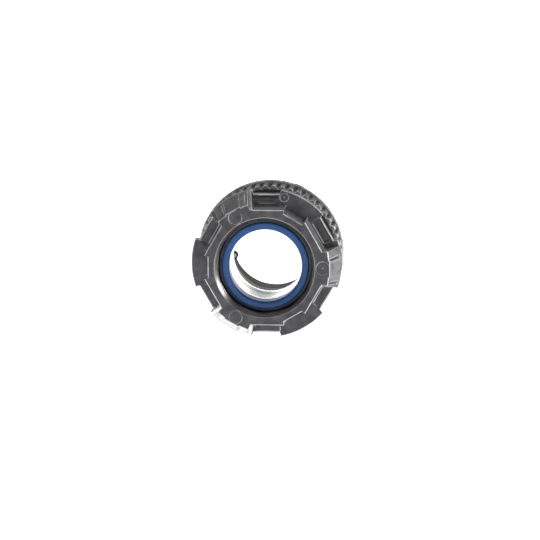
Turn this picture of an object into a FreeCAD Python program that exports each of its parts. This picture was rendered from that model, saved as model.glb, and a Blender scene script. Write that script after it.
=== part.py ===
"""Raintight compression connector for 3/4 in. thin-wall steel conduit, with an insulated throat.

Every piece is drawn standing on the connector's mouth: its own Z axis is the bore, Z = 0 is the
mouth face and Z grows towards the locknut. laid_down() then turns all of them alike, so that the
connector lies along Y with the locknut at -Y, the mouth at +Y and the origin at the conduit stop.
"""

import FreeCAD, Part
import math
import os
import sys

import Sketcher

NODES_FOLDER = "parts"
WHOLE_TURN = 360

# Millimetres, apart from the counts and the angles, which say so in their names.
DIMENSIONS = [
    # Stations along the bore, measured up from the mouth face
    ("overall_length", 47.3),
    ("stop_height", 23.6),
    ("body_end_height", 15.7),
    ("flange_bottom", 28.2),
    ("flange_top", 32.8),
    ("thread_end_height", 42.9),
    # Body
    ("box_thread_radius", 13.15),
    ("box_thread_pitch", 1.814),
    ("box_thread_depth", 0.8),
    ("box_thread_count", 5),
    ("nut_thread_radius", 15.5),
    ("nut_thread_pitch", 1.5875),
    ("nut_thread_depth", 0.7),
    ("nut_thread_count", 6),
    ("thread_lead_in", 0.8),
    ("flange_apothem", 16.0),
    ("corner_chamfer", 0.8),
    ("shoulder_radius", 17.6),
    ("shoulder_thickness", 1.6),
    ("throat_radius", 10.0),
    ("socket_radius", 11.9),
    ("socket_depth", 5.2),
    ("taper_mouth_radius", 13.4),
    ("insulator_seat_radius", 10.45),
    ("insulator_seat_depth", 5.0),
    ("seal_seat_depth", 0.8),
    ("seal_seat_radius", 16.6),
    # Throat insulator
    ("insulator_bore_radius", 9.58),
    ("insulator_sleeve_radius", 10.4),
    ("insulator_lip_radius", 11.55),
    ("insulator_lip_height", 1.1),
    ("insulator_lip_round", 0.9),
    # Locknut
    ("locknut_bottom", 36.95),
    ("locknut_flange_top", 39.7),
    ("locknut_radius", 20.07),
    ("locknut_bore_radius", 13.25),
    ("locknut_bore_chamfer", 0.5),
    ("boss_apothem", 15.3),
    ("notch_floor", 18.6),
    ("notch_half_width", 3.7),
    ("corner_cut_floor", 14.95),
    ("corner_cut_half_width", 2.93),
    ("claw_face_radius", 17.3),
    ("claw_inner_radius", 14.0),
    ("claw_angle", 34),
    ("ledge_pocket_inner", 16.2),
    ("ledge_pocket_outer", 18.1),
    ("ledge_pocket_half_width", 3.1),
    ("ledge_pocket_depth", 0.5),
    ("ejector_mark_radius", 1.55),
    ("ejector_mark_reach", 15.3),
    ("ejector_mark_depth", 0.2),
    ("claw_groove_left_angle", 6.5),
    ("claw_groove_right_angle", -14),
    ("claw_groove_reach", 18.35),
    ("claw_groove_radius", 0.55),
    ("claw_groove_depth", 4.2),
    # Box seal
    ("box_seal_height", 2.8),
    ("box_seal_clearance", 0.05),
    ("box_seal_bore_radius", 13.3),
    ("box_seal_round", 0.5),
    # Compression nut
    ("nut_top", 27.1),
    ("collar_bottom", 21.1),
    ("rim_bottom", 19.1),
    ("wrench_bottom", 5.3),
    ("tooth_tip_radius", 19.5),
    ("tooth_root_radius", 18.2),
    ("tooth_gap_half_width", 0.95),
    ("tooth_count", 52),
    ("rim_radius", 20.08),
    ("wrench_apothem", 17.5),
    ("mouth_face_radius", 14.6),
    ("mouth_radius", 12.16),
    ("mouth_chamfer", 0.4),
    ("mouth_lip_height", 3.5),
    ("chamber_radius", 14.6),
    ("nut_bore_radius", 15.6),
    ("nut_bore_bottom", 14.3),
    # Gland ring, slip washer and conduit seal
    ("gland_top", 16.4),
    ("gland_height", 6.8),
    ("gland_bore_radius", 11.8),
    ("gland_radius", 13.3),
    ("gland_bevel_width", 0.9),
    ("gland_bevel_height", 1.8),
    ("gland_gap_angle", 15),
    ("gland_gap_direction", 173.5),
    ("washer_top", 9.4),
    ("washer_height", 1.0),
    ("washer_bore_radius", 12.0),
    ("washer_radius", 14.45),
    ("conduit_seal_top", 8.2),
    ("conduit_seal_height", 4.5),
    ("conduit_seal_bore_radius", 11.85),
    ("conduit_seal_radius", 14.4),
    ("conduit_seal_round", 0.7),
]

HEXAGON = 6
OCTAGON = 8
CLAWS = 3

doc = FreeCAD.newDocument("compression_connector")
sheet = doc.addObject("Spreadsheet::Sheet", "Sizes")


class Length:
    """A number together with the spreadsheet expression that gives it."""

    def __init__(self, value, text):
        self.value = value
        self.text = text

    def __add__(self, other):
        return Length(self.value + other.value, f"({self.text} + {other.text})")

    def __sub__(self, other):
        return Length(self.value - other.value, f"({self.text} - {other.text})")

    def times(self, factor):
        return Length(self.value * factor, f"({self.text} * {factor:.9f})")


def fill_sheet():
    for row, (alias, number) in enumerate(DIMENSIONS, start=1):
        sheet.set(f"A{row}", alias)
        sheet.set(f"B{row}", str(number))
        sheet.setAlias(f"B{row}", alias)
    doc.recompute()


def size(alias):
    return Length(float(dict(DIMENSIONS)[alias]), f"Sizes.{alias}")


def zero():
    return Length(0.0, "0")


def negative(length):
    return length.times(-1)


# ---------------------------------------------------------------- sketches and features


def new_body(name):
    body = doc.addObject("PartDesign::Body", name)
    body.Label = name
    return body


def origin_item(body, role):
    return next(item for item in body.Origin.OriginFeatures if item.Role == role)


def new_sketch(body, name, role, height=None):
    sketch = body.newObject("Sketcher::SketchObject", name)
    sketch.AttachmentSupport = [(origin_item(body, role), "")]
    sketch.MapMode = "FlatFace"
    if height is not None:
        sketch.AttachmentOffset = FreeCAD.Placement(FreeCAD.Vector(0, 0, height.value), FreeCAD.Rotation())
        sketch.setExpression("AttachmentOffset.Base.z", height.text)
    return sketch


def place_point(sketch, line, kind, length):
    """Fix the start point of a line at a distance from the sketch's origin."""
    if length.text == "0":
        axis = -2 if kind == "DistanceX" else -1
        sketch.addConstraint(Sketcher.Constraint("PointOnObject", line, 1, axis))
        return
    number = sketch.addConstraint(Sketcher.Constraint(kind, -1, 1, line, 1, length.value))
    sketch.setExpression(f"Constraints[{number}]", length.text)


def draw_outline(sketch, corners):
    points = [FreeCAD.Vector(across.value, up.value, 0) for across, up in corners]
    following = points[1:] + points[:1]
    for start, end in zip(points, following):
        sketch.addGeometry(Part.LineSegment(start, end), False)
    for line in range(len(corners)):
        sketch.addConstraint(Sketcher.Constraint("Coincident", line, 2, (line + 1) % len(corners), 1))
    for line, (across, up) in enumerate(corners):
        place_point(sketch, line, "DistanceX", across)
        place_point(sketch, line, "DistanceY", up)


def draw_circle(sketch, reach, direction, radius):
    """A circle whose centre is this far from the axis, in this direction in degrees."""
    turn = math.radians(direction)
    across = reach.times(math.cos(turn))
    up = reach.times(math.sin(turn))
    centre = FreeCAD.Vector(across.value, up.value, 0)
    circle = sketch.addGeometry(Part.Circle(centre, FreeCAD.Vector(0, 0, 1), radius.value), False)
    across_number = sketch.addConstraint(Sketcher.Constraint("DistanceX", -1, 1, circle, 3, across.value))
    up_number = sketch.addConstraint(Sketcher.Constraint("DistanceY", -1, 1, circle, 3, up.value))
    radius_number = sketch.addConstraint(Sketcher.Constraint("Radius", circle, radius.value))
    sketch.setExpression(f"Constraints[{across_number}]", across.text)
    sketch.setExpression(f"Constraints[{up_number}]", up.text)
    sketch.setExpression(f"Constraints[{radius_number}]", radius.text)


def draw_polygon(sketch, sides, apothem, first_corner_angle):
    """A regular polygon about the axis: its corners come from the apothem."""
    corner_reach = apothem.times(1 / math.cos(math.pi / sides))
    corners = []
    for corner in range(sides):
        angle = math.radians(first_corner_angle + corner * WHOLE_TURN / sides)
        corners.append((corner_reach.times(math.cos(angle)), corner_reach.times(math.sin(angle))))
    draw_outline(sketch, corners)


def spin(body, name, corners, kind="PartDesign::Revolution", angle=None):
    """Turn an outline, given as radius and height pairs, about the bore's axis."""
    sketch = new_sketch(body, f"{name}_profile", "XZ_Plane")
    draw_outline(sketch, corners)
    feature = body.newObject(kind, name)
    feature.Profile = sketch
    feature.ReferenceAxis = (sketch, ["V_Axis"])
    feature.Angle = WHOLE_TURN
    if angle is not None:
        feature.setExpression("Angle", angle.text)
    return feature


def raise_pad(body, name, sketch, height):
    pad = body.newObject("PartDesign::Pad", name)
    pad.Profile = sketch
    pad.Length = height.value
    pad.setExpression("Length", height.text)
    return pad


def sink_pocket(body, name, sketch, depth):
    """Cut down from a sketch that lies in a plane across the bore."""
    pocket = body.newObject("PartDesign::Pocket", name)
    pocket.Profile = sketch
    pocket.Length = depth.value
    pocket.setExpression("Length", depth.text)
    return pocket


def repeat_around(body, name, features, count, count_text=None):
    doc.recompute()
    pattern = body.newObject("PartDesign::PolarPattern", name)
    pattern.Originals = features
    pattern.Axis = (origin_item(body, "Z_Axis"), [""])
    pattern.Angle = WHOLE_TURN
    pattern.Occurrences = count
    if count_text:
        pattern.setExpression("Occurrences", count_text)
    body.Tip = pattern
    return pattern


def repeat_along(body, name, feature, pitch, count):
    """Repeat a feature up the bore's axis, one pitch apart."""
    doc.recompute()
    pattern = body.newObject("PartDesign::LinearPattern", name)
    pattern.Originals = [feature]
    pattern.Direction = (origin_item(body, "Z_Axis"), [""])
    pattern.Occurrences = int(count.value)
    pattern.setExpression("Occurrences", count.text)
    pattern.Length = pitch.value * (count.value - 1)
    pattern.setExpression("Length", f"{pitch.text} * ({count.text} - 1)")
    body.Tip = pattern
    return pattern


def chamfer_corners(body, name, apothem, height, towards_mouth):
    """Turn the corners of a polygon flange down to a cone at one of its faces."""
    beyond = apothem.times(1.2)
    rise = size("corner_chamfer")
    inner_height = height + rise if towards_mouth else height - rise
    corners = [(apothem, height), (beyond, height), (beyond, inner_height + (inner_height - height))]
    return spin(body, name, corners, "PartDesign::Groove")


def cut_thread(body, name, crest_radius, root_radius, first_height, pitch, count):
    """Ring-shaped thread grooves: their flanks stand 30 degrees to the radius."""
    depth = abs(root_radius.value - crest_radius.value)
    half_mouth = depth * math.tan(math.radians(30)) + 0.12 * pitch.value
    half_floor = 0.08 * pitch.value
    mouth = pitch.times(half_mouth / pitch.value)
    floor = pitch.times(half_floor / pitch.value)
    corners = [
        (crest_radius, first_height - mouth),
        (root_radius, first_height - floor),
        (root_radius, first_height + floor),
        (crest_radius, first_height + mouth),
    ]
    groove = spin(body, name, corners, "PartDesign::Groove")
    return repeat_along(body, f"{name}_turns", groove, pitch, count)


def round_edges(body, name, radius, wanted):
    """Fillet every edge of the body's tip that wanted(edge) picks."""
    doc.recompute()
    base = body.Tip
    names = [f"Edge{index}" for index, edge in enumerate(base.Shape.Edges, start=1) if wanted(edge)]
    fillet = body.newObject("PartDesign::Fillet", name)
    fillet.Base = (base, names)
    fillet.Radius = radius.value
    fillet.setExpression("Radius", radius.text)
    return fillet


def is_circle_at(edge, radius, height):
    """True for a round edge about the bore, of this radius and at this height."""
    curve = edge.Curve
    if not isinstance(curve, Part.Circle):
        return False
    near = 1e-4
    return abs(curve.Radius - radius.value) < near and abs(curve.Center.z - height.value) < near


# ---------------------------------------------------------------- the pieces


def make_connector_body():
    body = new_body("connector_body")
    flange_outline = new_sketch(body, "wrench_flange_outline", "XY_Plane", size("flange_bottom"))
    draw_polygon(flange_outline, HEXAGON, size("flange_apothem"), 0)
    raise_pad(body, "wrench_flange", flange_outline, size("flange_top") - size("flange_bottom"))
    chamfer_corners(body, "box_side_chamfer", size("flange_apothem"), size("flange_top"), False)
    chamfer_corners(body, "nut_side_chamfer", size("flange_apothem"), size("flange_bottom"), True)

    lead_in = size("thread_lead_in")
    box_thread = size("box_thread_radius")
    nut_thread = size("nut_thread_radius")
    spin(body, "outside", [
        (zero(), size("body_end_height")),
        (nut_thread - lead_in, size("body_end_height")),
        (nut_thread, size("body_end_height") + lead_in),
        (nut_thread, size("flange_bottom")),
        (size("shoulder_radius"), size("flange_top") - size("shoulder_thickness")),
        (size("shoulder_radius"), size("flange_top")),
        (box_thread, size("flange_top")),
        (box_thread, size("thread_end_height") - lead_in),
        (box_thread - lead_in, size("thread_end_height")),
        (zero(), size("thread_end_height")),
    ])

    socket_end = size("stop_height") - size("socket_depth")
    seat_floor = size("thread_end_height") - size("insulator_seat_depth")
    spin(body, "bore", [
        (zero(), size("body_end_height")),
        (size("taper_mouth_radius"), size("body_end_height")),
        (size("socket_radius"), socket_end),
        (size("socket_radius"), size("stop_height")),
        (size("throat_radius"), size("stop_height")),
        (size("throat_radius"), seat_floor),
        (size("insulator_seat_radius"), seat_floor),
        (size("insulator_seat_radius"), size("thread_end_height")),
        (zero(), size("thread_end_height")),
    ], "PartDesign::Groove")

    seal_seat_floor = size("flange_top") - size("seal_seat_depth")
    spin(body, "seal_seat", [
        (box_thread, seal_seat_floor),
        (size("seal_seat_radius"), seal_seat_floor),
        (size("seal_seat_radius"), size("flange_top")),
        (box_thread, size("flange_top")),
    ], "PartDesign::Groove")

    box_pitch = size("box_thread_pitch")
    box_root = box_thread - size("box_thread_depth")
    first_box_groove = size("flange_top") + box_pitch.times(0.7)
    cut_thread(body, "box_thread", box_thread, box_root, first_box_groove, box_pitch, size("box_thread_count"))
    nut_pitch = size("nut_thread_pitch")
    nut_root = nut_thread - size("nut_thread_depth")
    first_nut_groove = size("body_end_height") + nut_pitch
    cut_thread(body, "nut_thread", nut_thread, nut_root, first_nut_groove, nut_pitch, size("nut_thread_count"))
    return body


def make_throat_insulator():
    body = new_body("throat_insulator")
    bottom = size("thread_end_height") - size("insulator_seat_depth")
    lip_top = size("thread_end_height") + size("insulator_lip_height")
    bore = size("insulator_bore_radius")
    lip = size("insulator_lip_radius")
    spin(body, "lipped_sleeve", [
        (bore, bottom),
        (size("insulator_sleeve_radius"), bottom),
        (size("insulator_sleeve_radius"), size("thread_end_height")),
        (lip, size("thread_end_height")),
        (lip, lip_top),
        (bore, lip_top),
    ])
    round_edges(body, "rounded_lip", size("insulator_lip_round"),
                lambda edge: is_circle_at(edge, bore, lip_top) or is_circle_at(edge, lip, lip_top))
    return body


def make_box_seal():
    body = new_body("box_seal")
    bottom = size("flange_top") - size("seal_seat_depth") + size("box_seal_clearance")
    top = bottom + size("box_seal_height")
    outside = size("seal_seat_radius") - size("box_seal_clearance")
    bore = size("box_seal_bore_radius")
    spin(body, "ring", [(bore, bottom), (outside, bottom), (outside, top), (bore, top)])
    round_edges(body, "soft_edges", size("box_seal_round"),
                lambda edge: is_circle_at(edge, outside, top) or is_circle_at(edge, bore, top))
    return body


def notch_outline(body, name, height, floor, half_width, outer, direction):
    """A rectangle across the given direction, from floor to outer, for a pocket cut inwards."""
    sketch = new_sketch(body, name, "XY_Plane", height)
    turn = math.radians(direction)
    corners = []
    for reach, side in ((floor, -1), (outer, -1), (outer, 1), (floor, 1)):
        across = half_width.times(side)
        corners.append((reach.times(math.cos(turn)) - across.times(math.sin(turn)),
                        reach.times(math.sin(turn)) + across.times(math.cos(turn))))
    draw_outline(sketch, corners)
    return sketch


def make_locknut():
    body = new_body("locknut")
    bottom = size("locknut_bottom")
    ledge = size("locknut_flange_top")
    top = size("overall_length")
    outer = size("locknut_radius")
    spin(body, "flange", [(zero(), bottom), (outer, bottom), (outer, ledge), (zero(), ledge)])

    notch = notch_outline(body, "notch_outline", ledge, size("notch_floor"),
                          size("notch_half_width"), outer.times(1.1), 30)
    notch_cut = sink_pocket(body, "notch", notch, ledge - bottom)
    repeat_around(body, "notches", [notch_cut], HEXAGON)

    boss_outline = new_sketch(body, "boss_outline", "XY_Plane", ledge)
    draw_polygon(boss_outline, HEXAGON, size("boss_apothem"), 0)
    raise_pad(body, "boss", boss_outline, top - ledge)
    corner_cut = notch_outline(body, "corner_cut_outline", top, size("corner_cut_floor"),
                               size("corner_cut_half_width"), outer, 60)
    corner_pocket = sink_pocket(body, "corner_cut", corner_cut, top - ledge)
    repeat_around(body, "corner_cuts", [corner_pocket], CLAWS)

    claw = spin(body, "claw", [
        (size("claw_inner_radius"), ledge),
        (outer, ledge),
        (size("claw_face_radius"), top),
        (size("claw_inner_radius"), top),
    ], angle=size("claw_angle"))
    claw.Midplane = True
    repeat_around(body, "claws", [claw], CLAWS)

    ledge_pocket = notch_outline(body, "ledge_pocket_outline", ledge, size("ledge_pocket_inner"),
                                 size("ledge_pocket_half_width"), size("ledge_pocket_outer"), 30)
    ledge_cut = sink_pocket(body, "ledge_pocket", ledge_pocket, size("ledge_pocket_depth"))
    repeat_around(body, "ledge_pockets", [ledge_cut], HEXAGON)

    for side in ("left", "right"):
        direction = size(f"claw_groove_{side}_angle").value
        groove_outline = new_sketch(body, f"claw_groove_{side}_outline", "XY_Plane", top)
        draw_circle(groove_outline, size("claw_groove_reach"), direction, size("claw_groove_radius"))
        groove = sink_pocket(body, f"claw_groove_{side}", groove_outline, size("claw_groove_depth"))
        repeat_around(body, f"claw_grooves_{side}", [groove], CLAWS)

    mark_outline = new_sketch(body, "ejector_mark_outline", "XY_Plane", top)
    draw_circle(mark_outline, size("ejector_mark_reach"), WHOLE_TURN / CLAWS, size("ejector_mark_radius"))
    mark = sink_pocket(body, "ejector_mark", mark_outline, size("ejector_mark_depth"))
    repeat_around(body, "ejector_marks", [mark], CLAWS)

    bore = size("locknut_bore_radius")
    chamfer = size("locknut_bore_chamfer")
    spin(body, "bore", [
        (zero(), bottom),
        (bore + chamfer, bottom),
        (bore, bottom + chamfer),
        (bore, top - chamfer),
        (bore + chamfer, top),
        (zero(), top),
    ], "PartDesign::Groove")
    pitch = size("box_thread_pitch")
    cut_thread(body, "thread", bore, bore + size("box_thread_depth"), bottom + pitch.times(0.9), pitch,
               size("box_thread_count"))
    return body


def make_compression_nut():
    body = new_body("compression_nut")
    wrench_outline = new_sketch(body, "wrench_outline", "XY_Plane", size("wrench_bottom"))
    draw_polygon(wrench_outline, OCTAGON, size("wrench_apothem"), WHOLE_TURN / OCTAGON / 2)
    raise_pad(body, "wrench_flats", wrench_outline, size("rim_bottom") - size("wrench_bottom"))
    chamfer_corners(body, "flats_chamfer", size("wrench_apothem"), size("wrench_bottom"), True)
    chamfer = size("mouth_chamfer")
    spin(body, "collar", [
        (zero(), zero()),
        (size("mouth_face_radius"), zero()),
        (size("wrench_apothem"), size("wrench_bottom")),
        (size("wrench_apothem"), size("rim_bottom")),
        (size("rim_radius") - chamfer, size("rim_bottom")),
        (size("rim_radius"), size("rim_bottom") + chamfer),
        (size("rim_radius"), size("collar_bottom") - chamfer),
        (size("rim_radius") - chamfer, size("collar_bottom")),
        (size("tooth_tip_radius"), size("collar_bottom")),
        (size("tooth_tip_radius"), size("nut_top") - chamfer),
        (size("tooth_tip_radius") - chamfer, size("nut_top")),
        (zero(), size("nut_top")),
    ])
    spin(body, "bore", [
        (zero(), zero()),
        (size("mouth_radius") + chamfer, zero()),
        (size("mouth_radius"), chamfer),
        (size("mouth_radius"), size("mouth_lip_height")),
        (size("chamber_radius"), size("mouth_lip_height")),
        (size("chamber_radius"), size("nut_bore_bottom")),
        (size("nut_bore_radius"), size("nut_bore_bottom")),
        (size("nut_bore_radius"), size("nut_top") - chamfer),
        (size("nut_bore_radius") + chamfer, size("nut_top")),
        (zero(), size("nut_top")),
    ], "PartDesign::Groove")
    pitch = size("nut_thread_pitch")
    bore = size("nut_bore_radius")
    cut_thread(body, "thread", bore, bore + size("nut_thread_depth"), size("nut_bore_bottom") + pitch.times(1.4),
               pitch, size("nut_thread_count"))
    gap_outline = new_sketch(body, "tooth_gap_outline", "XY_Plane", size("nut_top"))
    mouth = size("tooth_tip_radius") + size("mouth_chamfer")
    half_width = size("tooth_gap_half_width")
    draw_outline(gap_outline, [
        (size("tooth_root_radius"), zero()),
        (mouth, negative(half_width)),
        (mouth, half_width),
    ])
    gap = sink_pocket(body, "tooth_gap", gap_outline, size("nut_top") - size("collar_bottom"))
    repeat_around(body, "teeth", [gap], int(size("tooth_count").value), "Sizes.tooth_count")
    return body


def make_gland_ring():
    body = new_body("gland_ring")
    top = size("gland_top")
    bottom = top - size("gland_height")
    outside = size("gland_radius")
    bevel = size("gland_bevel_width")
    rise = size("gland_bevel_height")
    turned = Length(WHOLE_TURN - size("gland_gap_angle").value, "360 - Sizes.gland_gap_angle")
    spin(body, "split_ring", [
        (size("gland_bore_radius"), bottom),
        (outside - bevel, bottom),
        (outside, bottom + rise),
        (outside, top - rise),
        (outside - bevel, top),
        (size("gland_bore_radius"), top),
    ], angle=turned)
    return body


def make_slip_washer():
    body = new_body("slip_washer")
    bottom = size("washer_top") - size("washer_height")
    bore = size("washer_bore_radius")
    outside = size("washer_radius")
    spin(body, "ring", [(bore, bottom), (outside, bottom), (outside, size("washer_top")), (bore, size("washer_top"))])
    return body


def make_conduit_seal():
    body = new_body("conduit_seal")
    top = size("conduit_seal_top")
    bottom = top - size("conduit_seal_height")
    bore = size("conduit_seal_bore_radius")
    outside = size("conduit_seal_radius")
    spin(body, "ring", [(bore, bottom), (outside, bottom), (outside, top), (bore, top)])
    round_edges(body, "soft_edges", size("conduit_seal_round"), lambda edge: isinstance(edge.Curve, Part.Circle))
    return body


def laid_down(turn_about_bore=0.0):
    """The placement that lays a standing piece along Y with the conduit stop at the origin."""
    own_turn = FreeCAD.Rotation(FreeCAD.Vector(0, 0, 1), turn_about_bore)
    lie = FreeCAD.Rotation(FreeCAD.Vector(1, 0, 0), 90)
    shift = FreeCAD.Vector(0, size("stop_height").value, 0)
    return FreeCAD.Placement(shift, lie.multiply(own_turn))


def check_document(bodies):
    for item in doc.Objects:
        if "Invalid" in item.State or "Error" in item.State:
            sys.exit(f"{item.Name} failed: {item.State}")
    for body in bodies:
        if body.Shape.isNull() or not body.Shape.isValid():
            sys.exit(f"{body.Label} has no valid shape")
        if len(body.Shape.Solids) != 1:
            sys.exit(f"{body.Label} is {len(body.Shape.Solids)} solids")


def main():
    fill_sheet()
    bodies = [
        make_connector_body(),
        make_throat_insulator(),
        make_box_seal(),
        make_locknut(),
        make_compression_nut(),
        make_gland_ring(),
        make_slip_washer(),
        make_conduit_seal(),
    ]
    for body in bodies:
        body.Placement = laid_down()
    gland = doc.getObject("gland_ring")
    # The ring's gap opens just before the start of its turn, so half the gap is added back.
    gland.Placement = laid_down(size("gland_gap_direction").value + size("gland_gap_angle").value / 2)
    doc.recompute()
    check_document(bodies)
    os.makedirs(NODES_FOLDER, exist_ok=True)
    for body in bodies:
        body.Shape.exportStep(os.path.join(NODES_FOLDER, f"{body.Label}.step"))
        print(body.Label, round(body.Shape.Volume, 1))


main()
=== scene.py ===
"""The looks of a raintight conduit compression connector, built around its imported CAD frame.

Shapes are worked out in millimetres about the bore: a radius, an angle in the X-Z plane from +X
towards +Z, and a height above the mouth face, which grows towards the locknut at -Y.
"""

import math

import bpy
import numpy as np
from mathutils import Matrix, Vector


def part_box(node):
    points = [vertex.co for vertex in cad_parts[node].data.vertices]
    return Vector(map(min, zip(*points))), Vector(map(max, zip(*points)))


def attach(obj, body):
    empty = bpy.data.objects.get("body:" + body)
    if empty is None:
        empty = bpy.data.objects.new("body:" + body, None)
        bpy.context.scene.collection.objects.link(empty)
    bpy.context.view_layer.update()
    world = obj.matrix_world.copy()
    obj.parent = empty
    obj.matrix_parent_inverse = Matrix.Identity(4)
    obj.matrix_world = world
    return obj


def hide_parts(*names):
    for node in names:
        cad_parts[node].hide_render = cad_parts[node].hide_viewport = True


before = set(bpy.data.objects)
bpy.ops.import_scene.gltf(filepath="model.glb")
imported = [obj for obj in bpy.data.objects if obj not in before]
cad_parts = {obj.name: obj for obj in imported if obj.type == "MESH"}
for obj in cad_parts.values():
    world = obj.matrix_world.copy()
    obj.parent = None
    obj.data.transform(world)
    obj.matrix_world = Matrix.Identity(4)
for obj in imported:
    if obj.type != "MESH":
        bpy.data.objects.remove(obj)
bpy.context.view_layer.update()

MM = 0.001
MOUTH_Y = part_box("compression_nut")[1].y
LOCKNUT_FACE_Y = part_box("locknut")[0].y
FULL_TURN = 2 * math.pi


def height_of(y):
    return (MOUTH_Y - y) / MM


def top_of(node):
    return height_of(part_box(node)[0].y)


def bottom_of(node):
    return height_of(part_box(node)[1].y)


def reach_of(node):
    """A node's largest radius, in millimetres, from its box."""
    low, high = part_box(node)
    return max(high.x, -low.x, high.z, -low.z) / MM


# ---------------------------------------------------------------- shapes about the bore


def even_angles(count):
    return np.arange(count) * FULL_TURN / count


def zoned_angles(coarse, fine, zones):
    """Column angles at coarse steps, and at fine steps inside each zone.

    The steps are in degrees, and so is a zone: (direction, half width).
    """
    steps = np.arange(0, 360, fine)
    kept = np.abs(steps / coarse - np.round(steps / coarse)) < 1e-6
    for direction, half_width in zones:
        kept |= np.abs((steps - direction + 180) % 360 - 180) <= half_width
    return np.radians(steps[kept])


def turn_from(angles, direction_degrees):
    """Signed angle from a direction, wrapped to half a turn each way, in radians."""
    return (angles - math.radians(direction_degrees) + math.pi) % FULL_TURN - math.pi


def nearest_turn(angles, first_degrees, count):
    """Signed angle from the nearest of evenly spaced directions, in radians."""
    pitch = FULL_TURN / count
    return (angles - math.radians(first_degrees) + pitch / 2) % pitch - pitch / 2


def soft_step(value, edge, width):
    """0 below edge, 1 above it, over this width."""
    share = np.clip((value - edge) / width + 0.5, 0, 1)
    return share * share * (3 - 2 * share)


def soft_between(value, low, high, width):
    return soft_step(value, low, width) * (1 - soft_step(value, high, width))


def soft_window(value, half_width, softness):
    """1 where |value| is inside half_width, with soft ends."""
    return 1 - soft_step(np.abs(value), half_width, softness)


def polygon_radius(angles, apothem, sides, flat_direction):
    return apothem / np.cos(nearest_turn(angles, flat_direction, sides))


def rounded_rows(corners, columns, arc_rows=4):
    """The radii and heights of a closed outline's rows, with an arc at each corner.

    A corner is (radius, height, rounding, straight rows before the next corner), and its radius may
    differ from column to column.
    """
    points = []
    for radius, height, _, _ in corners:
        points.append(np.stack([np.broadcast_to(radius, columns), np.broadcast_to(height, columns)]))
    arcs = []
    for index, here in enumerate(points):
        back = points[index - 1] - here
        ahead = points[(index + 1) % len(points)] - here
        back_length = np.maximum(np.hypot(*back), 1e-6)
        ahead_length = np.maximum(np.hypot(*ahead), 1e-6)
        rounding = np.minimum(corners[index][2], 0.45 * np.minimum(back_length, ahead_length))
        arcs.append((here + back / back_length * rounding, here, here + ahead / ahead_length * rounding))
    rows = []
    for index, (start, here, finish) in enumerate(arcs):
        for share in np.linspace(0, 1, arc_rows + 1):
            rows.append((1 - share) ** 2 * start + 2 * share * (1 - share) * here + share ** 2 * finish)
        next_start = arcs[(index + 1) % len(arcs)][0]
        for share in np.linspace(0, 1, corners[index][3] + 2)[1:-1]:
            rows.append(finish + (next_start - finish) * share)
    return np.moveaxis(np.array(rows), 1, 0)


def grid_faces(rows, columns, wrap_rows, wrap_columns):
    row_count = rows if wrap_rows else rows - 1
    column_count = columns if wrap_columns else columns - 1
    row, column = np.meshgrid(np.arange(row_count), np.arange(column_count), indexing="ij")
    next_row, next_column = (row + 1) % rows, (column + 1) % columns
    quads = np.stack([row * columns + column, row * columns + next_column,
                      next_row * columns + next_column, next_row * columns + column], axis=-1)
    return quads.reshape(-1, 4)


def points_about_bore(radii, angles, heights):
    """The places of a grid's points in the frame, in metres."""
    across = radii * np.cos(angles) * MM
    up = radii * np.sin(angles) * MM
    along = MOUTH_Y - heights * MM
    return np.stack([across, along, up], axis=-1)


def new_object(name, points, faces):
    mesh = bpy.data.meshes.new(name)
    mesh.from_pydata(points.reshape(-1, 3), [], faces)
    mesh.polygons.foreach_set("use_smooth", np.ones(len(mesh.polygons), bool))
    thing = bpy.data.objects.new(name, mesh)
    bpy.context.scene.collection.objects.link(thing)
    return thing


SHARP_ANGLE = math.radians(32)


def new_piece(name, points, faces):
    piece = new_object(name, points, faces)
    piece.data.set_sharp_from_angle(angle=SHARP_ANGLE)
    piece.data.update()
    mark_edges(piece.data)
    return piece


def turned_piece(name, angles, radii, heights):
    """A closed ring-shaped surface from a grid of rows and columns."""
    faces = grid_faces(len(radii), len(angles), True, True)
    return new_piece(name, points_about_bore(radii, angles, heights), faces.tolist())


def values_of(items, name, kind=np.float64, width=1):
    values = np.empty(len(items) * width, kind)
    items.foreach_get(name, values)
    return values.reshape(-1, width) if width > 1 else values


def dress(piece, node, body, material):
    piece.data.materials.append(material)
    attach(piece, body)
    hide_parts(node)
    return piece


# The bend, in radians to the millimetre, at which the painted edge highlights and crease shade start to show
# and at which they are full.
FAINT_BEND = 1.2
FULL_BEND = 2.8
SHORTEST_SPAN = 0.02


def mark_edges(mesh):
    """Store how sharply the surface bends at each point, 0 to 1: edge_line outwards, crease_line inwards."""
    normals = values_of(mesh.polygons, "normal", width=3)
    centres = values_of(mesh.polygons, "center", width=3)
    corner_counts = values_of(mesh.polygons, "loop_total", np.int32)
    loop_edges = values_of(mesh.loops, "edge_index", np.int32)
    ends = values_of(mesh.edges, "vertices", np.int32, width=2)
    loop_faces = np.repeat(np.arange(len(mesh.polygons)), corner_counts)
    order = np.argsort(loop_edges, kind="stable")
    first, second = loop_faces[order[0::2]], loop_faces[order[1::2]]
    apart = centres[second] - centres[first]
    bend = np.arccos(np.clip(np.sum(normals[first] * normals[second], axis=1), -1, 1))
    outwards = -np.sign(np.sum(apart * (normals[first] - normals[second]), axis=1))
    curvature = bend / np.maximum(np.linalg.norm(apart, axis=1) / MM, SHORTEST_SPAN)
    for name, side in (("edge_line", 1), ("crease_line", -1)):
        sharpest = np.zeros(len(mesh.vertices))
        for end in (0, 1):
            np.maximum.at(sharpest, ends[:, end], curvature * (outwards == side))
        share = np.clip((sharpest - FAINT_BEND) / (FULL_BEND - FAINT_BEND), 0, 1)
        mesh.attributes.new(name, "FLOAT", "POINT").data.foreach_set("value", share.astype(np.float32))


# ---------------------------------------------------------------- threads

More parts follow.
